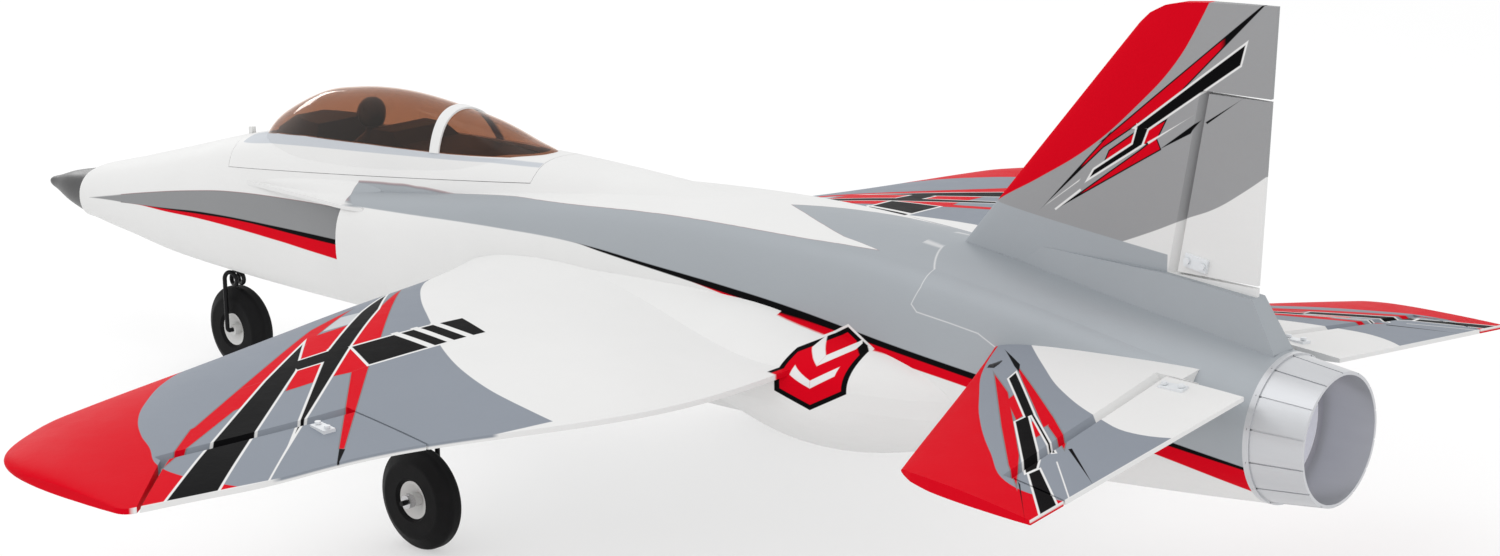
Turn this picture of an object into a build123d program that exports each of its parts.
from build123d import *
import math
import os

# A ducted-fan trainer jet model. +X runs to the nose, +Y to the left wing tip, +Z up.
# The origin is on the ground, under the middle of the length. All sizes are in millimetres.
# A "station" is a distance aft of the nose tip.

# ------------------------------------------------------------------ driving dimensions
LENGTH = 1270.0
SPAN = 1035.0
SKIN = 3.0  # moulded foam skin of the fuselage
DUCT_SKIN = 0.8  # extra layer on the pod inside the intakes
SEAM = 0.4  # gap round the hatch
CONTACT = 0.05  # gap left between bonded curved pieces
RUNNING = 0.05  # radial clearance of a turning fit

NOSE_CONE_END = 70.0
NOSE_CONE_RADIUS = 20.5
NOSE_CONE_HEIGHT = 120.6
LIP_STATION = 460.0  # plane of the two intake lips
BULKHEAD = 640.0  # rear wall of the battery bay
TAIL_JOINT = 985.0  # main and rear fuselage meet here
NOZZLE_START = 1233.0
NOZZLE_RADIUS = 45.3
NOZZLE_RIM_RADIUS = 40.3
JET_HEIGHT = 148.5  # height of the nozzle's axis

FAN_START = 855.0
FAN_LENGTH = 60.0
FAN_BORE = 35.0
FAN_WALL = 2.0
FAN_BLADES = 12
STATOR_VANES = 5
PETALS = 14

WING_HEIGHT = 152.0  # chord plane at the root
WING_DROP = 0.029  # slight anhedral of each panel
WING_EDGE = 3.4  # thickness of the blunt trailing edge
STAB_HEIGHT = 184.0
STAB_DROP = 0.1066
STAB_EDGE = 2.6
TAIL_END = 1237.0  # trailing edge of both stabilizers

WIRE = 1.75  # radius of the undercarriage wire
MAIN_WHEEL = (687.0, 191.5, 35.2, 19.5)  # station, offset, radius, width
NOSE_WHEEL = (252.0, 0.0, 34.7, 20.0)
HUB_RADIUS = 14.0
BORE = WIRE + RUNNING

SPAR_STATION = 730.0
TAIL_SPAR_STATION = 1086.0
SPAR_HEIGHT = 144.0
SPAR_RADIUS = 4.0
SPAR_REACH = 240.0

ARM_RADIUS = 14.0  # crank radius shared by every horn and servo arm
STEERING_REACH = 62.0  # nose leg to steering servo
STEERING_PLANE = 116.0  # height of both steering arms
PIN = 0.75  # pushrod wire radius
PIN_HOLE = 0.82

os.makedirs("parts", exist_ok=True)


def x_at(station):
    """X of a station."""
    return LENGTH / 2 - station


def save(node, shape):
    """Writes one node as its own STEP file."""
    export_step(shape, f"parts/{node}.step")


def block(stations, widths, heights):
    """A box between two stations, two Y values and two Z values."""
    size = (stations[1] - stations[0], widths[1] - widths[0], heights[1] - heights[0])
    middle = (x_at(sum(stations) / 2), sum(widths) / 2, sum(heights) / 2)
    return Pos(*middle) * Box(*size)


def flat_face(points):
    """A face on XY whose normal is up, whichever way round its points run."""
    area = sum(a[0] * b[1] - b[0] * a[1] for a, b in zip(points, points[1:] + points[:1]))
    return make_face(Polyline(*(points if area > 0 else points[::-1]), close=True))


def prism(points, push):
    """A flat outline of 3-D points pushed along a vector."""
    face = Face(Wire.make_polygon(points))
    if face.normal_at().dot(push) < 0:
        face = Face(Wire.make_polygon(points[::-1]))
    return Solid.extrude(face, push)


def side_plate(outline, width, middle=0.0):
    """A plate of constant Y width with a (station, height) outline."""
    face = flat_face([(x_at(station), height) for station, height in outline])
    return extrude(Plane((0, middle, 0), x_dir=(1, 0, 0), z_dir=(0, -1, 0)) * face, width / 2, both=True)


def plan_plate(outline, heights):
    """A plate with a (station, Y) outline between two heights."""
    face = flat_face([(x_at(station), y) for station, y in outline])
    return extrude(Pos(0, 0, heights[0]) * face, heights[1] - heights[0])


def axle(centre, radius, reach):
    """A round bar along Y, from centre y - reach to y + reach."""
    return Pos(*centre) * Rot(90, 0, 0) * Cylinder(radius, 2 * reach)


def tube_x(start, end, outer, inner, height=JET_HEIGHT, y=0.0):
    """A tube along X between two stations."""
    middle = Pos(x_at((start + end) / 2), y, height) * Rot(0, 90, 0)
    return middle * (Cylinder(outer, end - start) - Cylinder(inner, end - start))


def carve(shape, cutter):
    """The shape less every solid of the cutter."""
    for solid in cutter.solids():
        shape = shape - solid
    return shape


def mirrored(shape):
    """The same piece on the other side of the aeroplane."""
    return mirror(shape, about=Plane.XZ)


# ------------------------------------------------------------------ fuselage lofts
# Central pod, from the nose to the end of the spine:
# station, top, waist, bottom, half width, squareness of the upper half
POD = [
    (70, 141.1, 120.6, 100.1, 20.5, 2.0),
    (90, 148.5, 122, 99, 24, 2.0),
    (140, 161, 126, 94.5, 31, 2.1),
    (200, 177, 131, 88.5, 38, 2.2),
    (301, 203, 138, 85, 44.5, 2.5),
    (384, 214, 140, 84, 47, 2.8),
    (460, 221, 140, 84, 47.5, 3.0),
    (545, 226, 141, 83.5, 47, 3.0),
    (640, 228.5, 144, 84, 46, 2.8),
    (790, 224, 148, 90, 42, 2.4),
    (925, 219, 150, 100, 34, 2.0),
]

# Intake and fan body: station, crease Y, crease Z, crown, half width, waist, bottom, roundness
NACELLE = [
    (460, 42, 186, 190, 69, 150, 86, 0.0),
    (530, 42, 194, 199, 71, 150, 84, 0.0),
    (670, 40, 211, 216, 72.5, 150, 82.5, 0.0),
    (806, 40, 220, 224, 72, 150, 82, 0.0),
    (899, 40, 220, 225, 70, 150, 84, 0.0),
    (1000, 40, 216, 223, 65, 150, 88, 0.1),
    (1098, 38, 205, 212, 57, 149.5, 92.5, 0.3),
    (1175, 35, 191, 202, 50, 149, 98, 0.65),
    (1233, 32.03, 180.53, 193.8, 45.3, 148.5, 103.2, 1.0),
]

# Cockpit bubble: station, top, half width
BUBBLE = [
    (303, 203, 10),
    (320, 216, 22),
    (345, 231, 31),
    (384, 246.5, 37),
    (458, 254.7, 40),
    (545, 247, 39),
    (585, 238, 36),
    (620, 229, 29),
]
BUBBLE_BASE = 180.0


def rows_between(table, start, end, spacing=30.0):
    """Evenly spaced rows from start to end, on smooth curves through the table's values."""
    stations = [row[0] for row in table]

    def slope(index, column):
        low, high = max(index - 1, 0), min(index + 1, len(table) - 1)
        return (table[high][column] - table[low][column]) / (stations[high] - stations[low])

    def row_at(station):
        index = max(i for i in range(len(table) - 1) if stations[i] <= station or i == 0)
        gap = stations[index + 1] - stations[index]
        t = (station - stations[index]) / gap
        row = [station]
        for column in range(1, len(table[0])):
            a, b = table[index][column], table[index + 1][column]
            rise_a, rise_b = slope(index, column) * gap, slope(index + 1, column) * gap
            value = a * (1 + 2 * t) * (1 - t) ** 2 + b * t * t * (3 - 2 * t)
            value += rise_a * t * (1 - t) ** 2 - rise_b * t * t * (1 - t)
            row.append(value)
        return tuple(row)

    count = max(2, round((end - start) / spacing))
    return [row_at(start + (end - start) * step / count) for step in range(count + 1)]


def even_spline(points, tangents=None):
    """A spline with evenly numbered parameters, so that every section of a loft matches.

    tangents are the unit directions of its two ends."""
    steps = [step / (len(points) - 1) for step in range(len(points))]
    if tangents is None:
        return Edge.make_spline(points, parameters=steps)
    length = sum((after - before).length for before, after in zip(points, points[1:]))
    ends = [tangent * length for tangent in tangents]
    return Edge.make_spline(points, tangents=ends, parameters=steps, scale=False)


def closed_section(station, right_half, crown=None):
    """A face across X from the right-hand half outline, which runs from top to bottom."""
    x = x_at(station)
    right = [Vector(x, -y, z) for y, z in right_half]
    left = [Vector(x, y, z) for y, z in right_half]
    outward = Vector(0, 1, 0)
    if crown is None:
        return Face(Wire([even_spline(right, [-outward, outward]), even_spline(left, [outward, -outward])]))
    arc = Edge.make_three_point_arc(left[0], Vector(x, 0, crown), right[0])
    return Face(Wire([arc, even_spline(right), even_spline(left)]))


def spaced(outline, steps):
    """Points at equal distances along a finely drawn outline."""
    travelled = [0.0]
    for (y0, z0), (y1, z1) in zip(outline, outline[1:]):
        travelled.append(travelled[-1] + math.hypot(y1 - y0, z1 - z0))
    points = [outline[0]]
    index = 1
    for step in range(1, steps):
        goal = travelled[-1] * step / steps
        while travelled[index] < goal:
            index += 1
        share = (goal - travelled[index - 1]) / (travelled[index] - travelled[index - 1])
        (y0, z0), (y1, z1) = outline[index - 1], outline[index]
        points.append((y0 + share * (y1 - y0), z0 + share * (z1 - z0)))
    return points + [outline[-1]]


FINE = 120  # points on a finely drawn outline


def pod_section(row, shrink):
    station, top, waist, bottom, half_width, square = row
    outline = []
    for step in range(FINE + 1):
        turn = math.pi / 2 - math.pi * step / FINE
        upper = turn > 0
        power = 2 / (square if upper else 2.4)
        y = (half_width - shrink) * abs(math.cos(turn)) ** power
        rise = (top - waist if upper else waist - bottom) - shrink
        z = waist + math.copysign(rise * abs(math.sin(turn)) ** power, turn)
        outline.append((0.0 if step in (0, FINE) else y, z))
    return closed_section(station, spaced(outline, 10))


def pod(start=NOSE_CONE_END, end=925.0, shrink=0.0):
    """The central pod between two stations, shrunk (or grown) all round."""
    return loft([pod_section(row, shrink) for row in rows_between(POD, start, end)])


def nacelle_section(row, shrink):
    station, crease_y, crease_z, crown, half_width, waist, bottom, roundness = row
    radius = half_width - shrink
    steps = FINE // 2
    outline = []
    for step in range(steps + 1):
        turn = math.pi / 2 * (1 - step / steps)
        y = crease_y + (half_width - crease_y) * math.cos(turn) ** 0.9 - shrink
        z = waist + (crease_z - shrink - waist) * math.sin(turn) ** 0.9
        round_y = radius * math.cos(turn / 2)
        round_z = waist + radius * math.sin(turn / 2)
        outline.append((y + roundness * (round_y - y), z + roundness * (round_z - z)))
    for step in range(1, steps + 1):
        turn = math.pi / 2 * step / steps
        power = 0.84 + 0.16 * roundness
        y = radius * max(math.cos(turn), 0) ** power
        z = waist - (waist - bottom - shrink) * math.sin(turn) ** power
        outline.append((0.0 if step == steps else y, z))
    return closed_section(station, spaced(outline, 10), crown - shrink)


def nacelle(start=LIP_STATION, end=NOZZLE_START, shrink=0.0):
    """The intake and fan body between two stations."""
    return loft([nacelle_section(row, shrink) for row in rows_between(NACELLE, start, end)])


def bubble(shrink=0.0):
    """The cockpit bubble: a dome that rises out of the pod."""
    sections = []
    start, end = BUBBLE[0][0] + 2 * shrink, BUBBLE[-1][0] - 2 * shrink
    for station, top, half_width in rows_between(BUBBLE, start, end, 20.0):
        outline = []
        for step in range(FINE + 1):
            turn = math.pi / 2 - math.pi * step / FINE
            rise = (top - BUBBLE_BASE if turn > 0 else 20.0) - shrink
            y = (half_width - shrink) * abs(math.cos(turn)) ** 0.9
            outline.append((0.0 if step in (0, FINE) else y, BUBBLE_BASE + rise * math.sin(turn)))
        sections.append(closed_section(station, spaced(outline, 8)))
    return loft(sections)


# Side view of the sill where the glass starts
SILL = [(290, 199.5), (303, 203), (345, 210.5), (384, 214.8), (460, 219), (545, 222.5), (626, 227)]


def above_sill(gap=0.0):
    """The space over the sill line, a gap above it."""
    line = [(station, height + gap) for station, height in SILL]
    return side_plate(line + [(SILL[-1][0], 300), (SILL[0][0], 300)], 140.0)


# Side outline of the hatch: its seam climbs towards the rear and its front edge leans back.
HATCH_FRONT = (296.0, 179.5)
HATCH_REAR = (633.0, 214.0)
HATCH_FRONT_TOP = 285.0


def hatch_block(gap=0.0):
    """The space that the hatch takes out of the pod."""
    outline = [
        (HATCH_FRONT[0] + gap, HATCH_FRONT[1] + gap),
        (HATCH_FRONT_TOP + gap, 206.0),
        (HATCH_FRONT_TOP + gap, 300.0),
        (HATCH_REAR[0] - gap, 300.0),
        (HATCH_REAR[0] - gap, HATCH_REAR[1] + gap),
    ]
    return side_plate(outline, 140.0)


# ------------------------------------------------------------------ wing and tail lofts
def blade_section(spot, front, rear, thickness, edge):
    """A symmetrical aerofoil face with a blunt trailing edge.

    spot(station, offset) gives the 3-D point at a chordwise station and a signed
    distance from the chord plane."""
    chord = rear - front
    fractions = [0.0, 0.02, 0.08, 0.2, 0.4, 0.7, 1.0]

    def half(fraction):
        shape = (
            0.2969 * math.sqrt(fraction)
            - 0.1260 * fraction
            - 0.3516 * fraction**2
            + 0.2843 * fraction**3
            - 0.1036 * fraction**4
        )
        return 5 * thickness * shape + edge / 2 * fraction

    upper = [spot(front + f * chord, half(f)) for f in reversed(fractions)]
    lower = [spot(front + f * chord, -half(f)) for f in fractions[1:]]
    skin = even_spline(upper + lower)
    return Face(Wire([skin, Edge.make_line(lower[-1], upper[0])]))


def wing_plane(y):
    return WING_HEIGHT - WING_DROP * (y - 70)


def wing_rear(y):
    return 963.0 - 0.325 * (max(y, 138) - 70)


def wing_front(y):
    return 600.0 + 0.135 * (y - 70)


# Left wing: Y, extra sweep of the rounded tip, thickness, trim of the rear corner
WING_ROWS = [
    (60.0, 0.0, 56.0, 0.0),
    (76.0, 0.0, 42.0, 0.0),
    (96.0, 0.0, 33.5, 0.0),
    (130.0, 0.0, 30.5, 0.0),
    (300.0, 0.0, 23.0, 0.0),
    (440.0, 1.0, 17.0, 0.0),
    (470.0, 7.0, 15.5, 0.0),
    (495.0, 18.0, 13.5, 0.0),
    (509.0, 32.0, 11.0, 0.0),
    (515.0, 46.0, 8.0, 2.0),
    (SPAN / 2, 62.0, 5.0, 8.0),
]


def wing_blank():
    """The whole left wing panel before the aileron is cut from it."""
    sections = []
    for y, sweep, thickness, trim in WING_ROWS:
        height = wing_plane(y)
        sections.append(
            blade_section(
                lambda station, offset: Vector(x_at(station), y, height + offset),
                wing_front(y) + sweep,
                wing_rear(y) - trim,
                thickness,
                WING_EDGE,
            )
        )
    return loft(sections)


# Fairing between the left wing and the body: station, side, top there, reach, height of the
# reach, bottom at the side, fullness (0 a hollow fillet with a thin edge, 1 a rounded bulge)
ROOT_FAIRING = [
    (612, 58, 156, 65, 152, 148, 0),
    (650, 66, 168, 92, 151.5, 139, 0),
    (700, 71, 173, 112, 151, 130, 0),
    (820, 70, 178, 132, 148, 112, 0.2),
    (880, 69.5, 177, 130, 144, 100, 0.5),
    (915, 69, 173, 122, 140, 94, 0.8),
    (945, 67, 169, 108, 137, 92, 1),
    (980, 65, 163, 88, 134, 97, 1),
    (1015, 60, 155, 71, 132, 106, 1),
    (1040, 50, 148, 58, 132, 118, 1),
]

# Strake on the side of the pod, ending over the intake, in the same terms
STRAKE = [
    (325, 40, 176, 43, 172, 168, 0),
    (380, 44.5, 182, 50, 174, 168, 0),
    (430, 46, 187, 58, 176, 168, 0),
    (458, 46, 189, 63, 177, 167, 0),
    (485, 46, 188, 63, 178, 167, 0),
]
THIN_EDGE = 1.5  # half thickness of a hollow fairing's outer edge
FULL_EDGE = 6.0  # and of a rounded one


def fairing_section(row, inner):
    """A face across X whose upper and lower sides sweep in to the body, as far as inner."""
    station, side, top, reach, height, bottom, full = row
    x = x_at(station)
    edge = THIN_EDGE + full * (FULL_EDGE - THIN_EDGE)
    middle = side + (0.35 + 0.37 * full) * (reach - side)
    share = 0.42 + 0.24 * full
    edge_top = Vector(x, reach, height + edge)
    edge_foot = Vector(x, reach, height - edge)
    upper = [
        Vector(x, inner, top + 8),
        Vector(x, side, top),
        Vector(x, middle, height + share * (top - height)),
        edge_top,
    ]
    lower = [
        edge_foot,
        Vector(x, middle, height - share * (height - bottom)),
        Vector(x, side, bottom),
        Vector(x, inner, bottom - 5),
    ]
    edges = [
        even_spline(upper),
        Edge.make_line(edge_top, edge_foot),
        even_spline(lower),
        Edge.make_line(lower[-1], upper[0]),
    ]
    return Face(Wire(edges))


def fairing(table, inner):
    rows = rows_between(table, table[0][0], table[-1][0])
    return loft([fairing_section(row, inner) for row in rows])


def stab_plane(y):
    return STAB_HEIGHT - STAB_DROP * y


def stab_blank():
    """The left stabilizer with its elevator still in one piece."""
    sections = []
    for y, front, thickness in ((26, 1048, 13), (60, 1064, 11.5), (225, 1131, 7.5), (256, 1144, 6)):
        sections.append(
            blade_section(
                lambda station, offset: Vector(x_at(station), y, stab_plane(y) + offset),
                front,
                TAIL_END,
                thickness,
                STAB_EDGE,
            )
        )
    tip = [(1100, 214), (1128, 229), (1144, 236), (1160, 239.5), (1250, 252.5), (1250, 300), (1100, 300)]
    return loft(sections) - plan_plate(tip, (100, 250))


FIN_FOOT = 212.0


def fin_blank():
    """The fin with its rudder still in one piece."""
    sections = []
    for height, front, rear, thickness in ((FIN_FOOT, 985, 1211, 9), (300, 1059, 1215, 8), (396, 1141, 1219, 6)):
        sections.append(
            blade_section(
                lambda station, offset: Vector(x_at(station), offset, height),
                front,
                rear,
                thickness,
                STAB_EDGE,
            )
        )
    corner = [(1124, 376), (1132, 383), (1143, 388.5), (1156, 391.5), (1172, 393), (1219.5, 395), (1219.5, 200)]
    side = [(970, 200), (985, FIN_FOOT)] + corner
    return loft(sections) & side_plate(side, 40)


# ------------------------------------------------------------------ control surface frames
# Each surface turns about a line on one face of its blank, at the bottom of a V groove cut
# from the other face. The local frame has X along the hinge, Y forward and Z to the groove.


class Surface:
    """One control surface: hinge line, cut outline and linkage place."""

    def __init__(self, start, end, groove_side, depth):
        self.start = Vector(*start)
        self.end = Vector(*end)
        self.along = (self.end - self.start).normalized()
        forward = Vector(1, 0, 0)
        self.up = forward.cross(self.along).normalized()
        if self.up.dot(groove_side) < 0:
            self.up = -self.up
        self.forward = (forward - self.along * forward.dot(self.along)).normalized()
        self.depth = depth

    def frame(self, distance):
        """Local frame on the hinge line, a distance from its start."""
        origin = self.start + self.along * distance
        return Plane(origin, x_dir=self.along, z_dir=self.up)

    def sign(self):
        """+1 where local Y points forward."""
        return 1 if self.frame(0).y_dir.dot(self.forward) > 0 else -1

    def length(self):
        return (self.end - self.start).length

    def wedge(self, front_top, front_foot, back):
        """A prism along the hinge: from the groove's front slope back past the trailing edge."""
        far = self.depth
        outline = [(front_foot, -far), (front_foot, -0.6), (front_top, far), (-back, far), (-back, -far)]
        origin = self.start - self.along * 60
        points = [origin + self.forward * a + self.up * b for a, b in outline]
        return prism(points, self.along * (self.length() + 120))


UP = Vector(0, 0, 1)


def wing_under(station, y, half_thickness):
    return (x_at(station), y, wing_plane(y) - half_thickness)


AILERON = Surface(wing_under(799, 334, 5.6), wing_under(777, 461, 4.5), UP, 30.0)
ELEVATOR = Surface(
    (x_at(1184), 54, stab_plane(54) - 2.6), (x_at(1197), 215, stab_plane(215) - 2.0), UP, 20.0
)
RUDDER = Surface((x_at(1156), -2.4, 230), (x_at(1175), -1.9, 341), Vector(0, 1, 0), 20.0)

# Outlines of the moving pieces, as (station, Y) or (station, height)
AILERON_OUTLINE = [(740, 334), (900, 342), (900, 520), (824, 514), (777, 461), (740, 457)]
ELEVATOR_OUTLINE = [(1150, 54), (1250, 50), (1250, 223), (1197, 215), (1150, 213)]
RUDDER_OUTLINE = [(1120, 230.5), (1230, 229.5), (1230, 340.5), (1120, 341)]
GROOVE_TOP = 17.0  # the groove's front slope starts this far ahead of the hinge
END_GAP = 1.5  # gap at each end of a surface


def grown(outline, gap):
    """The outline moved outwards by gap."""
    return offset(flat_face(outline), gap, kind=Kind.INTERSECTION)


def cut_region(outline, gap, standing):
    """A deep prism over a surface's outline, standing across Y for the rudder."""
    face = grown([(x_at(a), b) for a, b in outline], gap)
    if standing:
        return extrude(Plane.XZ * Pos(0, 0, -60) * face, 120)
    return extrude(Pos(0, 0, 60) * face, 200)


def split_surface(blank, surface, outline, standing=False):
    """Cuts a blank into its fixed part and its moving surface."""
    moving_zone = surface.wedge(-3.0, -0.35, 140)
    clear_zone = surface.wedge(GROOVE_TOP, 0.35, 140)
    moving = blank & moving_zone & cut_region(outline, -END_GAP / 2, standing)
    fixed = blank - (clear_zone & cut_region(outline, END_GAP / 2, standing))
    # the groove's front slope runs on to the end of the panel, over the fixed corner
    slope = surface.wedge(GROOVE_TOP, -0.35, -0.35)
    return fixed, moving, slope


# ------------------------------------------------------------------ servo linkages
SERVO = (23.0, 12.0, 24.0)  # chordwise, thick, along the shaft
SERVO_GAP = 0.3


class Linkage:
    """Horn, pushrod, servo arm and servo of one surface, as an exact parallelogram.

    frame is the surface's local frame at the horn; down is -1 when the horn stands on the
    far side from the groove; inset moves the servo's shaft towards the groove side."""

    def __init__(self, frame, forward, reach, inset):
        self.frame = frame
        self.forward = forward
        self.shaft = (0.0, forward * reach, inset)
        self.reach = reach

    def place(self, shape):
        return self.frame * shape

    def at_shaft(self, shape):
        return self.frame * (Pos(*self.shaft) * shape)

    def point(self, x, y, z):
        """Row position of a local point."""
        spot = self.frame * Pos(x, y, z)
        return spot.position if hasattr(spot, "position") else spot

    def servo(self, gap=0.0):
        """Servo case with its lugs; a gap makes the pocket for it."""
        long, thick, tall = SERVO
        f = self.forward
        case = Pos(-6 - tall / 2, f * 5.0, 0) * Box(tall + 2 * gap, long + 2 * gap, thick + 2 * gap)
        lugs = Pos(-12, f * 5.0, 0) * Box(2.4 + 2 * gap, long + 9 + 2 * gap, thick + 2 * gap)
        if gap:
            return self.at_shaft(case + lugs)
        holes = Rot(0, 90, 0) * Cylinder(1.1, 80)
        for side in (-1, 1):
            lugs -= Pos(-12, f * 5.0 + side * (long / 2 + 2.3), 0) * holes
        shaft = Pos(-3.6, 0, 0) * Rot(0, 90, 0) * Cylinder(2.3, 5.2)
        return self.at_shaft(case + lugs + shaft)

    def arm_slot(self):
        """Room for the arm, its swing and the servo's shaft."""
        room = Pos(-3.4, 0, 0) * Rot(0, 90, 0) * Cylinder(4.7, 5.9)
        room += Pos(-3.4, 0, -ARM_RADIUS / 2 - 2) * Box(5.9, 15.4, ARM_RADIUS + 4)
        return self.at_shaft(room)

    def arm(self):
        """Servo arm: a tapered crank on the shaft with a pin hole at its end."""
        hub = Rot(0, 90, 0) * Cylinder(4.0, 3.0)
        tip = Pos(0, 0, -ARM_RADIUS) * Rot(0, 90, 0) * Cylinder(2.4, 1.6)
        web = Pos(0, 0, -ARM_RADIUS / 2) * Box(1.6, 4.4, ARM_RADIUS)
        arm = Pos(-2.6, 0, 0) * (hub + tip + web)
        arm -= Pos(-2.6, 0, 0) * Rot(0, 90, 0) * Cylinder(2.3 + RUNNING, 10)
        arm -= Pos(0, 0, -ARM_RADIUS) * Rot(0, 90, 0) * Cylinder(PIN_HOLE, 20)
        return self.at_shaft(arm)

    def rod(self):
        """Pushrod wire with its two ends bent into the pin holes."""
        x, y, z = self.shaft
        start = Vector(1.0, 0, -ARM_RADIUS)
        end = Vector(1.0, y, z - ARM_RADIUS)
        direction = (end - start).normalized()
        wire = extrude(Plane(start, z_dir=direction) * Circle(PIN), (end - start).length)
        for spot in (start, end):
            wire += Pos(spot.X, spot.Y, spot.Z) * Sphere(PIN)
            wire += Pos(spot.X - 2.75, spot.Y, spot.Z) * Rot(0, 90, 0) * Cylinder(PIN, 5.5)
        return self.place(wire)

    def horn(self, skin_low, skin_high, blank):
        """Horn, back plate and two screws, trimmed to the surface that they clamp."""
        f = self.forward
        base = Pos(-2.5, -f * 13, skin_low) * Box(9, 17, 4.0)
        face = flat_face(
            [(-f * 19, skin_low), (0, -ARM_RADIUS - 2.6), (f * 2.4, -ARM_RADIUS), (-f * 6, skin_low)]
        )
        eye = Pos(-2.5, 0, -ARM_RADIUS) * Rot(0, 90, 0) * Cylinder(2.6, 1.6)
        blade = extrude(Plane((-3.3, 0, 0), x_dir=(0, 1, 0), z_dir=(1, 0, 0)) * face, 1.6)
        horn = base + blade + eye
        horn -= Pos(0, 0, -ARM_RADIUS) * Rot(0, 90, 0) * Cylinder(PIN_HOLE, 20)
        plate = Pos(-2.5, -f * 13, skin_high) * Box(8, 16, 3.6)
        low, high = self.place(horn) - blank, self.place(plate) - blank
        screws = []
        for step in (-5.5, 5.5):
            spot = Pos(-2.5, -f * 13 + step, 0)
            low -= self.place(spot * Cylinder(1.05, 60))
            high -= self.place(spot * Cylinder(1.05, 60))
            span = skin_high - skin_low + 7
            shank = Pos(0, 0, (skin_high + skin_low) / 2) * Cylinder(1.0, span)
            head = Pos(0, 0, skin_high + 3.0) * Cylinder(1.9, 1.4)
            screws.append(self.place(spot * (shank + head)))
        return [low, high] + screws

    def screw_holes(self):
        f = self.forward
        holes = [Pos(-2.5, -f * 13 + step, 0) * Cylinder(1.05, 60) for step in (-5.5, 5.5)]
        return [self.place(hole) for hole in holes]


def biggest(shape):
    """The largest solid of a cut, so that stray slivers are dropped."""
    return max(shape.solids(), key=lambda solid: solid.volume)


AILERON_LINK = Linkage(AILERON.frame(34), AILERON.sign(), 74.0, 4.5)
ELEVATOR_LINK = Linkage(ELEVATOR.frame(14), ELEVATOR.sign(), 66.0, 0.0)
RUDDER_LINK = Linkage(RUDDER.frame(13), RUDDER.sign(), 58.0, 0.0)

# ------------------------------------------------------------------ fuselage pieces
FUSELAGE_POD = pod()
FUSELAGE_NACELLE = nacelle()
REAR_ZONE = block((TAIL_JOINT, 1300), (-200, 200), (0, 400))


def nose_cone():
    """Solid tip, turned from a gently bowed outline."""
    end, radius = NOSE_CONE_END, NOSE_CONE_RADIUS
    skin = Spline((end, radius), (34, 12.6), (12, 5.8), (0, 0), tangents=[(-1, -0.2), (-0.6, -1)])
    outline = [Line((0, 0), (end, 0)), Line((end, 0), (end, radius)), skin]
    turned = revolve(make_face(Curve() + outline), Axis.X, 360)
    return Pos(LENGTH / 2, 0, NOSE_CONE_HEIGHT) * Rot(0, 180, 0) * turned


def wing_spar_bore(radius):
    return axle((x_at(SPAR_STATION), 0, SPAR_HEIGHT), radius, SPAR_REACH + 1)


def nose_gear_hole():
    return Pos(x_at(NOSE_WHEEL[0]), 0, 90) * Cylinder(5.0, 16)


LATCH_STATION = 280.0


def main_fuselage():
    """Hollow shell from the nose to the tail joint, open at the hatch and both intakes."""
    front = FUSELAGE_NACELLE - REAR_ZONE
    strake = fairing(STRAKE, 30)
    shell = FUSELAGE_POD + front + strake + mirrored(strake)
    shell -= pod(NOSE_CONE_END + 8, BULKHEAD, SKIN)
    duct_space = nacelle(LIP_STATION, BULKHEAD + 8, SKIN) - pod(400, 700, -DUCT_SKIN)
    shell = carve(shell, duct_space)
    shell -= nacelle(BULKHEAD + 8, TAIL_JOINT, SKIN)
    shell -= hatch_block()
    shell -= block((271.5, 284), (-2.2, 2.2), (185, 215))
    shell -= nose_gear_hole()
    shell -= wing_spar_bore(SPAR_RADIUS + CONTACT)
    return biggest(shell)


def dorsal():
    """Fairing under the fin and rudder, with sloping sides and a slanted rear end."""
    plan = [(985, 0), (1010, 5.5), (1060, 10.5), (1130, 13), (1232, 11)]
    base = flat_face([(x_at(s), y) for s, y in plan] + [(x_at(s), -y) for s, y in reversed(plan[1:])])
    body = extrude(Pos(0, 0, 186) * base, 60, taper=7)
    side = [(986, 186), (986, 222), (1004, 231.5), (1150, 229.5), (1212, 223.5), (1230, 194), (1230, 186)]
    return body & side_plate(side, 60)


def rear_fuselage():
    """Tail shell with the dorsal fairing, pockets for the tail servos and the fin slot."""
    shell = FUSELAGE_NACELLE & REAR_ZONE
    shell += dorsal()
    shell -= nacelle(TAIL_JOINT, NOZZLE_START, SKIN)
    for side in (ELEVATOR_LINK.servo(SERVO_GAP), mirrored(ELEVATOR_LINK.servo(SERVO_GAP))):
        shell -= side
    shell -= RUDDER_LINK.servo(SERVO_GAP)
    shell -= stab_spar_bore(3.0 + CONTACT)
    return biggest(shell)


def stab_spar_bore(radius):
    return axle((x_at(TAIL_SPAR_STATION), 0, 176.5), radius, 91)


def exhaust_nozzle():
    """Segmented nozzle ring: petals of alternating height round a smooth bore."""
    end = LENGTH
    outer = Polyline(
        (0, 0), (0, NOZZLE_RADIUS), (4, NOZZLE_RADIUS), (4, 44.2), (end - NOZZLE_START, NOZZLE_RIM_RADIUS), (end - NOZZLE_START, 0),
        close=True,
    )
    body = revolve(make_face(outer), Axis.X, 360)
    bore = revolve(
        make_face(Polyline((-1, 0), (-1, 41.6), (end - NOZZLE_START + 1, 38.2), (end - NOZZLE_START + 1, 0), close=True)),
        Axis.X,
        360,
    )
    body -= bore
    slope = math.degrees(math.atan2(44.2 - NOZZLE_RIM_RADIUS, end - NOZZLE_START - 4))
    slot = Pos(21.5, 0, 42.2) * Rot(0, slope, 0) * Box(40, 1.0, 1.6)
    for petal in range(PETALS):
        body -= Rot(petal * 360 / PETALS, 0, 0) * slot
    return Pos(x_at(NOZZLE_START), 0, JET_HEIGHT) * Rot(0, 180, 0) * body


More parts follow.
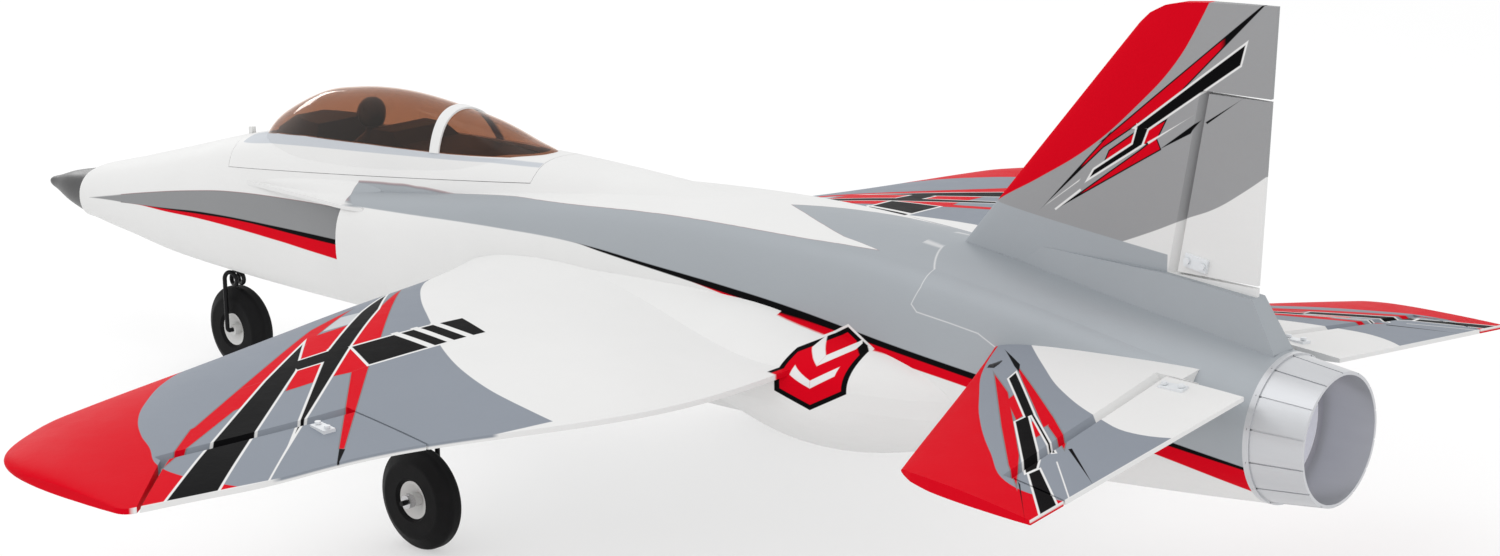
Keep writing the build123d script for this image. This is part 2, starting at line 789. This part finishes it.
def exhaust_tube():
    """Thin cone that carries the jet from the fan to the nozzle."""
    start = FAN_START + FAN_LENGTH
    length = NOZZLE_START - start
    wall = 0.8
    outer = Cone(FAN_BORE + FAN_WALL, 36.0, length)
    inner = Cone(FAN_BORE + FAN_WALL - wall, 36.0 - wall, length)
    return Pos(x_at(start + length / 2), 0, JET_HEIGHT) * Rot(0, -90, 0) * (outer - inner)


def intake_ducts():
    """Two plastic ducts that pass over the spar and merge at the fan."""
    rows = [(652, 50, 150, 16.5, 44), (735, 25, 182, 31, 24), (800, 10, 167, 37, 33), (854, 0, JET_HEIGHT, 36.8, 36.8)]
    wall = 1.2

    def one_side(shrink):
        faces = []
        for station, y, z, wide, high in rows:
            frame = Plane((x_at(station), y, z), x_dir=(0, 1, 0), z_dir=(1, 0, 0))
            faces.append(frame * Ellipse(wide - shrink, high - shrink * 1.001))
        return loft(faces)

    outer, inner = one_side(0.0), one_side(wall)
    return outer + mirrored(outer) - inner - mirrored(inner)


def fan_housing():
    """Shroud with a bell mouth, stator vanes and the tube that holds the motor."""
    shroud = tube_x(FAN_START, FAN_START + FAN_LENGTH, FAN_BORE + FAN_WALL, FAN_BORE)
    mouth = tube_x(FAN_START, FAN_START + 3, FAN_BORE + 4.5, FAN_BORE)
    sleeve = tube_x(FAN_START + 27, FAN_START + FAN_LENGTH, 16.2, 14.3)
    housing = shroud + mouth + sleeve
    vane_middle = FAN_START + 40
    for vane in range(STATOR_VANES):
        plate = Pos(0, 0, 25.6) * Rot(0, 0, 12) * Box(22, 1.6, 19.4)
        housing += Pos(x_at(vane_middle), 0, JET_HEIGHT) * Rot(vane * 360 / STATOR_VANES, 0, 0) * plate
    return housing


def fan_motor():
    """Motor can in the stator tube, bored for the shaft."""
    can = tube_x(FAN_START + 28, FAN_START + 66, 14.25, 2.5 + RUNNING)
    cap = tube_x(FAN_START + 66, FAN_START + 69, 10.0, 2.5 + RUNNING)
    return can + cap


def fan_rotor():
    """Rotor hub, twisted blades, spinner and shaft."""
    front, rear = FAN_START + 6, FAN_START + 25
    hub = tube_x(front, rear, 15.0, 0.5)
    spinner = Pos(x_at(front), 0, JET_HEIGHT) * (Sphere(15.0) & Pos(7.5, 0, 0) * Box(15, 40, 40))
    shaft = tube_x(front, FAN_START + 62, 2.5, 0.5)
    rotor = hub + spinner + shaft
    middle = Pos(x_at((front + rear) / 2), 0, JET_HEIGHT)
    root = Plane((0, 0, 13.5)) * Rot(0, 0, 38) * Rectangle(17, 2.4)
    tip = Plane((0, 0, 33.7)) * Rot(0, 0, 62) * Rectangle(15, 1.3)
    blade = loft([root, tip])
    for number in range(FAN_BLADES):
        rotor += middle * Rot(number * 360 / FAN_BLADES, 0, 0) * blade
    return rotor


# ------------------------------------------------------------------ battery bay
TRAY_HEIGHT = 100.0
TRAY_TOP = 103.0
TRAY_START = 338.0
PACK_STATIONS = (340.0, 490.0)
PACK_HEIGHT = 44.0


def battery_bay():
    """Tray, pack, straps, speed controller and receiver, trimmed to the bay's walls."""
    bay = pod(NOSE_CONE_END + 8, BULKHEAD, SKIN + CONTACT)
    tray = biggest(block((TRAY_START, BULKHEAD - 4), (-60, 60), (TRAY_HEIGHT, TRAY_TOP)) & bay)
    pack_top = TRAY_TOP + PACK_HEIGHT
    pack = block(PACK_STATIONS, (-24, 24), (TRAY_TOP, pack_top))
    pack = fillet(pack.edges().filter_by(Axis.X), 4.0)
    straps = []
    for station in (365.0, 455.0):
        zone = (station - 10, station + 10)
        loop = block(zone, (-25.6, 25.6), (TRAY_TOP, pack_top + 1.6))
        loop -= block(zone, (-24.1, 24.1), (TRAY_TOP, pack_top + 0.1))
        straps.append(loop)
    controller = fillet(block((500, 572), (-16, 16), (TRAY_TOP, TRAY_TOP + 16)).edges(), 1.5)
    receiver = fillet(block((586, 628), (-14, 14), (TRAY_TOP, TRAY_TOP + 13)).edges(), 1.0)
    return tray, pack, straps, controller, receiver


# ------------------------------------------------------------------ hatch pieces
HATCH_SKIN = 2.6
GLASS = 1.0
BOW_FOOT = 541.0  # middle of the bow at the bubble's base
BOW_TOP = 521.0  # and at its highest point's level
BOW_WIDTH = 9.0
BOW_HEIGHT = 1.3
SKIRT = 0.6  # the hatch stands this far outside the glass below the sill


def hatch_frame():
    """Hatch body: the top of the pod with a raised skirt round the bubble's opening."""
    body = FUSELAGE_POD & hatch_block(SEAM)
    body -= pod(290, 634, HATCH_SKIN) & block((303, 620), (-60, 60), (150, 260))
    body += (bubble(-SKIRT) & hatch_block(SEAM)) - above_sill()
    body -= bubble(HATCH_SKIN)
    return biggest(body)


def canopy_glass():
    dome = bubble() & above_sill(CONTACT)
    return biggest(dome - pod(280, 660, -CONTACT) - bubble(GLASS))


def canopy_bow():
    """Raised arch over the glass."""
    half = BOW_WIDTH / 2
    lean = [(BOW_FOOT - half, 180), (BOW_TOP - half, 270), (BOW_TOP + half, 270), (BOW_FOOT + half, 180)]
    arch = bubble(-BOW_HEIGHT) & side_plate(lean, 140) & above_sill(CONTACT)
    return biggest(arch - pod(280, 660, -CONTACT) - bubble(-CONTACT))


TUB_FLOOR = 198.0


def cockpit_tub():
    """Cockpit floor with an instrument cowl, side ledges, seat back and rear deck."""
    room = bubble(HATCH_SKIN + CONTACT) & block((318, 606), (-60, 60), (190, 270))
    tub = room & block((318, 606), (-60, 60), (TUB_FLOOR - 3, TUB_FLOOR))
    tub += bubble(5.0) & side_plate([(330, 195), (330, 212), (352, 224), (392, 224), (398, 195)], 90)
    tub += bubble(5.0) & side_plate([(450, 195), (456, 229), (478, 229), (490, 221), (606, 221), (606, 195)], 90)
    return biggest(tub)


def pilot_figure():
    """Plain bust: shoulders, neck and a helmeted head."""
    x = x_at(426)
    chest = Pos(x, 0, TUB_FLOOR + 11) * scale(Sphere(1), (12, 22, 13))
    chest &= block((390, 460), (-40, 40), (TUB_FLOOR, 240))
    neck = Pos(x, 0, TUB_FLOOR + 22) * Cylinder(5.5, 14)
    head = Pos(x + 1, 0, TUB_FLOOR + 36) * scale(Sphere(1), (11.5, 10.5, 12))
    return chest + neck + head


def hatch_latch():
    """Sliding latch: a thumb peg on a tongue that reaches under the hatch's front edge."""
    peg = block((LATCH_STATION - 2, LATCH_STATION + 2), (-2, 2), (189, 203.5))
    tongue = block((LATCH_STATION - 6, LATCH_STATION + 8), (-6, 6), (187.2, 190))
    return peg + tongue


# ------------------------------------------------------------------ undercarriage
def tyre(wheel):
    """Low-profile foam tyre with rounded shoulders, seated on the hub's rim."""
    station, y, radius, width = wheel
    half = width / 2
    seat = HUB_RADIUS - 1.0
    outline = make_face(
        Polyline(
            (seat, -half + 2.5), (HUB_RADIUS + 1, -half), (radius - 9, -half), (radius, -half + 5.5),
            (radius, half - 5.5), (radius - 9, half), (HUB_RADIUS + 1, half), (seat, half - 2.5), close=True,
        )
    )
    corners = outline.vertices().filter_by(lambda v: v.X > radius - 10)
    outline = fillet(corners, 4.0)
    ring = revolve(Plane.XZ * outline, Axis.Z, 360)
    return Pos(x_at(station), y, radius) * Rot(90, 0, 0) * ring


def hub(wheel):
    """Dished hub with a boss and the axle bore."""
    station, y, radius, width = wheel
    half = width / 2 - 2.5
    outline = Polyline(
        (BORE, -half - 1.5), (4.2, -half - 1.5), (4.2, -2.5), (11.2, -half + 0.5), (HUB_RADIUS - 1, -half),
        (HUB_RADIUS - 1, half), (11.2, half - 0.5), (4.2, 2.5), (4.2, half + 1.5), (BORE, half + 1.5), close=True,
    )
    ring = revolve(Plane.XZ * make_face(outline), Axis.Z, 360)
    return Pos(x_at(station), y, radius) * Rot(90, 0, 0) * ring


def bent_wire(points, bend):
    """Round wire through points, with rounded bends."""
    path = FilletPolyline(*points, radius=bend)
    return sweep(Plane(path @ 0, z_dir=path % 0) * Circle(WIRE), path)


MAIN_STRUT_Y = 176.0


def main_gear_strut():
    """Left strut: locked across the mount block, down the inner side and out as the axle."""
    station, y, radius, width = MAIN_WHEEL
    x = x_at(station)
    top = wing_plane(MAIN_STRUT_Y) - 8
    points = [(x, MAIN_STRUT_Y - 22, top), (x, MAIN_STRUT_Y, top), (x, MAIN_STRUT_Y, radius), (x, y + width / 2 + 8, radius)]
    return bent_wire(points, 4.0)


def main_gear_zone(gap=0.0):
    """Space of the left mount block in the wing's underside."""
    y = MAIN_STRUT_Y
    return block((670 - gap, 704 + gap), (y - 26 - gap, y + 7 + gap), (100, wing_plane(y) - 4))


def gear_mounts(wing):
    """Nose bearing block and the two wing blocks."""
    bay = pod(NOSE_CONE_END + 8, BULKHEAD, SKIN + CONTACT)
    x = x_at(NOSE_WHEEL[0])
    nose = block((236, 268), (-14, 14), (80, 106)) & bay
    nose -= Pos(x, 0, 95) * Cylinder(BORE, 60)
    main = main_gear_zone() & wing
    station, y, radius, width = MAIN_WHEEL
    top = wing_plane(MAIN_STRUT_Y) - 8
    slot = block((station - WIRE, station + WIRE), (MAIN_STRUT_Y - 24, MAIN_STRUT_Y + WIRE + CONTACT), (100, top + WIRE))
    main = main - slot
    return [nose, biggest(main), mirrored(biggest(main))]


COIL_RADIUS = 5.4
COIL_TURNS = 2
COIL_PITCH = 7.0
COIL_HEIGHT = 78.4


def nose_strut():
    """Steering shaft, sprung coil, leg on the left side and the axle, in one wire, with its arm."""
    station, y, radius, width = NOSE_WHEEL
    x = x_at(station)
    leg_y = COIL_TURNS * COIL_PITCH
    top = STEERING_PLANE + 8
    shaft = Pos(x, 0, (COIL_HEIGHT + top) / 2) * Cylinder(WIRE, top - COIL_HEIGHT)
    helix = Helix(COIL_PITCH, leg_y, COIL_RADIUS, direction=(0, 1, 0))
    spin = Pos(x - COIL_RADIUS, 0, COIL_HEIGHT) * Rot(0, 0, 0) * helix
    start = spin @ 0
    turned = math.degrees(math.atan2(start.Z - COIL_HEIGHT, start.X - (x - COIL_RADIUS)))
    spin = Pos(x - COIL_RADIUS, 0, COIL_HEIGHT) * Rot(0, turned, 0) * helix
    coil = sweep(Plane(spin @ 0, z_dir=spin % 0) * Circle(WIRE), spin, is_frenet=True)
    leg = bent_wire([(x, leg_y, COIL_HEIGHT), (x, leg_y, radius), (x, -width / 2 - 6.5, radius)], 2.6)
    arm = Pos(x, 6.5, STEERING_PLANE) * Box(6, 19, 3) + Pos(x, 0, STEERING_PLANE) * Cylinder(5, 6)
    arm -= Pos(x, ARM_RADIUS, STEERING_PLANE) * Cylinder(PIN_HOLE, 12)
    knees = Pos(x, 0, COIL_HEIGHT) * Sphere(WIRE) + Pos(x, leg_y, COIL_HEIGHT) * Sphere(WIRE)
    return shaft + coil + leg + knees + arm


def collar(centre, outward):
    """Wheel collar outside the hub, with its grub screw."""
    x, y, z = centre
    ring = Pos(x, y + outward * 2.6, z) * Rot(90, 0, 0) * (Cylinder(4.6, 5.0) - Cylinder(BORE, 5.0))
    screw = Pos(x, y + outward * 2.6, z + 3.6) * Cylinder(1.4, 3.4)
    return ring + screw


def steering_linkage():
    """Steering servo, its arm and the pushrod to the strut's arm; all shafts are upright."""
    x = x_at(NOSE_WHEEL[0])
    servo_x = x - STEERING_REACH
    plane = STEERING_PLANE
    case = Pos(servo_x - 5, 0, plane - 16) * Box(23, 12, 22)
    lugs = Pos(servo_x - 5, 0, plane - 11) * Box(32, 12, 2.4)
    shaft = Pos(servo_x, 0, plane - 2) * Cylinder(2.3, 7)
    servo = case + lugs + shaft
    arm = Pos(servo_x, 0, plane) * Cylinder(4, 3) + Pos(servo_x, ARM_RADIUS, plane) * Cylinder(2.4, 1.6)
    arm += Pos(servo_x, ARM_RADIUS / 2, plane) * Box(4.4, ARM_RADIUS, 1.6)
    arm -= Pos(servo_x, 0, plane) * Cylinder(2.3 + RUNNING, 10)
    arm -= Pos(servo_x, ARM_RADIUS, plane) * Cylinder(PIN_HOLE, 10)
    rod_height = plane + 3.4
    rod = Pos((x + servo_x) / 2, ARM_RADIUS, rod_height) * Rot(0, 90, 0) * Cylinder(PIN, STEERING_REACH)
    for spot in (x, servo_x):
        rod += Pos(spot, ARM_RADIUS, rod_height) * Sphere(PIN)
        rod += Pos(spot, ARM_RADIUS, rod_height - 2.5) * Cylinder(PIN, 5.0)
    return servo, arm, rod


# ------------------------------------------------------------------ build and write every node
def aileron_end_bevel():
    """Room that lets the aileron's slanted outer end swing up past the fixed tip."""
    inner = Vector(x_at(777), 461, wing_plane(461) - 5)
    outer = Vector(x_at(824), 514, wing_plane(461) - 5)
    along = (outer - inner).normalized()
    inward = Vector(along.Y, -along.X, 0)
    if inward.X > 0:
        inward = -inward
    foot = inner - along * 30
    height = Vector(0, 0, 30)
    return prism([foot, foot + height, foot + height + inward * 9], along * 160)


def make_wings():
    blank = wing_blank()
    fixed, aileron, slope = split_surface(blank, AILERON, AILERON_OUTLINE)
    aileron -= aileron_end_bevel()
    fixed += fairing(ROOT_FAIRING, 40)
    corner = block((740, 900), (440, 600), (0, 300))
    fixed -= slope & corner
    fixed -= FUSELAGE_POD + FUSELAGE_NACELLE
    fixed -= AILERON_LINK.servo(SERVO_GAP)
    fixed -= AILERON_LINK.arm_slot()
    fixed -= main_gear_zone(CONTACT)
    fixed -= wing_spar_bore(SPAR_RADIUS + CONTACT)
    for hole in AILERON_LINK.screw_holes():
        aileron -= hole
    wing = biggest(fixed)
    aileron = biggest(aileron)
    horn = AILERON_LINK.horn(-0.2, 11.0, blank)
    save("wing_left", wing)
    save("wing_right", mirrored(wing))
    save_pair("aileron", aileron)
    save_pair("aileron_horn", Compound(children=solids_of(horn)))
    save_pair("aileron_servo_arm", AILERON_LINK.arm())
    save_pair("aileron_pushrod", AILERON_LINK.rod())
    return blank


def solids_of(shapes):
    """Every solid of the given shapes, slivers dropped."""
    found = []
    for shape in shapes:
        found += [solid for solid in shape.solids() if solid.volume > 0.5]
    return found


def save_pair(name, shape):
    save(f"{name}_left", shape)
    save(f"{name}_right", mirrored(shape))


def make_stabilizers():
    blank = stab_blank()
    fixed, elevator, slope = split_surface(blank, ELEVATOR, ELEVATOR_OUTLINE)
    corner = block((1150, 1260), (205, 300), (0, 300))
    fixed -= slope & corner
    shell = FUSELAGE_NACELLE
    fixed -= shell
    fixed -= block((1195, 1260), (0, 51), (100, 250))
    fixed -= ELEVATOR_LINK.servo(SERVO_GAP)
    fixed -= ELEVATOR_LINK.arm_slot()
    fixed -= stab_spar_bore(3.0 + CONTACT)
    elevator -= shell
    for hole in ELEVATOR_LINK.screw_holes():
        elevator -= hole
    save_pair("stabilizer", biggest(fixed))
    save_pair("elevator", biggest(elevator))
    save_pair("elevator_horn", Compound(children=solids_of(ELEVATOR_LINK.horn(0.4, 5.6, blank))))
    save_pair("elevator_servo_arm", ELEVATOR_LINK.arm())
    save_pair("elevator_pushrod", ELEVATOR_LINK.rod())


def make_fin():
    blank = fin_blank()
    fixed, rudder, slope = split_surface(blank, RUDDER, RUDDER_OUTLINE, standing=True)
    fixed -= FUSELAGE_NACELLE + dorsal()
    notch = Pos(-2.6, 0, 0) * Rot(0, 90, 0) * Cylinder(5.2, 9)
    fixed -= RUDDER_LINK.at_shaft(notch)
    fixed -= RUDDER_LINK.servo(SERVO_GAP)
    for hole in RUDDER_LINK.screw_holes():
        rudder -= hole
    save("vertical_fin", biggest(fixed))
    save("rudder", biggest(rudder))
    save("rudder_horn", Compound(children=solids_of(RUDDER_LINK.horn(0.0, 5.4, blank))))
    save("rudder_servo_arm", RUDDER_LINK.arm())
    save("rudder_pushrod", RUDDER_LINK.rod())


def make_all():
    save("nose_cone", nose_cone())
    save("main_fuselage", main_fuselage())
    save("rear_fuselage", rear_fuselage())
    save("exhaust_nozzle", exhaust_nozzle())
    save("exhaust_tube", exhaust_tube())
    save("intake_ducts", intake_ducts())
    save("fan_housing", fan_housing())
    save("fan_motor", fan_motor())
    save("fan_rotor", fan_rotor())

    tray, pack, straps, controller, receiver = battery_bay()
    save("battery_tray", tray)
    save("battery_pack", pack)
    save("battery_straps", Compound(children=solids_of(straps)))
    save("speed_controller", controller)
    save("receiver", receiver)

    save("hatch_frame", hatch_frame())
    save("canopy_glass", canopy_glass())
    save("canopy_bow", canopy_bow())
    save("cockpit_tub", cockpit_tub())
    save("pilot_figure", pilot_figure())
    save("hatch_latch", hatch_latch())

    wing = make_wings()
    make_stabilizers()
    make_fin()

    tube = axle((x_at(SPAR_STATION), 0, SPAR_HEIGHT), SPAR_RADIUS, SPAR_REACH)
    tube -= axle((x_at(SPAR_STATION), 0, SPAR_HEIGHT), SPAR_RADIUS - 1, SPAR_REACH)
    tail = stab_spar_bore(3.0) & block((1000, 1200), (40, 90), (100, 250))
    save("carbon_spars", Compound(children=solids_of([tube, tail, mirrored(tail)])))

    steering_servo, steering_arm, steering_rod = steering_linkage()
    servos = [AILERON_LINK.servo(), mirrored(AILERON_LINK.servo()), ELEVATOR_LINK.servo()]
    servos += [mirrored(ELEVATOR_LINK.servo()), RUDDER_LINK.servo(), steering_servo]
    save("control_servos", Compound(children=solids_of(servos)))
    save("steering_servo_arm", steering_arm)
    save("steering_pushrod", steering_rod)

    save("gear_mounts", Compound(children=solids_of(gear_mounts(wing))))
    strut = main_gear_strut()
    save("main_gear_struts", Compound(children=solids_of([strut, mirrored(strut)])))
    save("nose_strut", nose_strut())
    for name, wheel in (("main", MAIN_WHEEL), ("nose", NOSE_WHEEL)):
        if name == "main":
            save_pair("main_tyre", tyre(wheel))
            save_pair("main_hub", hub(wheel))
        else:
            save("nose_tyre", tyre(wheel))
            save("nose_hub", hub(wheel))
    station, y, radius, width = MAIN_WHEEL
    outer = collar((x_at(station), y + width / 2 - 0.9, radius), 1)
    save("wheel_collars", Compound(children=solids_of([outer, mirrored(outer)])))
    station, y, radius, width = NOSE_WHEEL
    save("nose_wheel_collar", collar((x_at(station), -width / 2 + 0.9, radius), -1))


make_all()
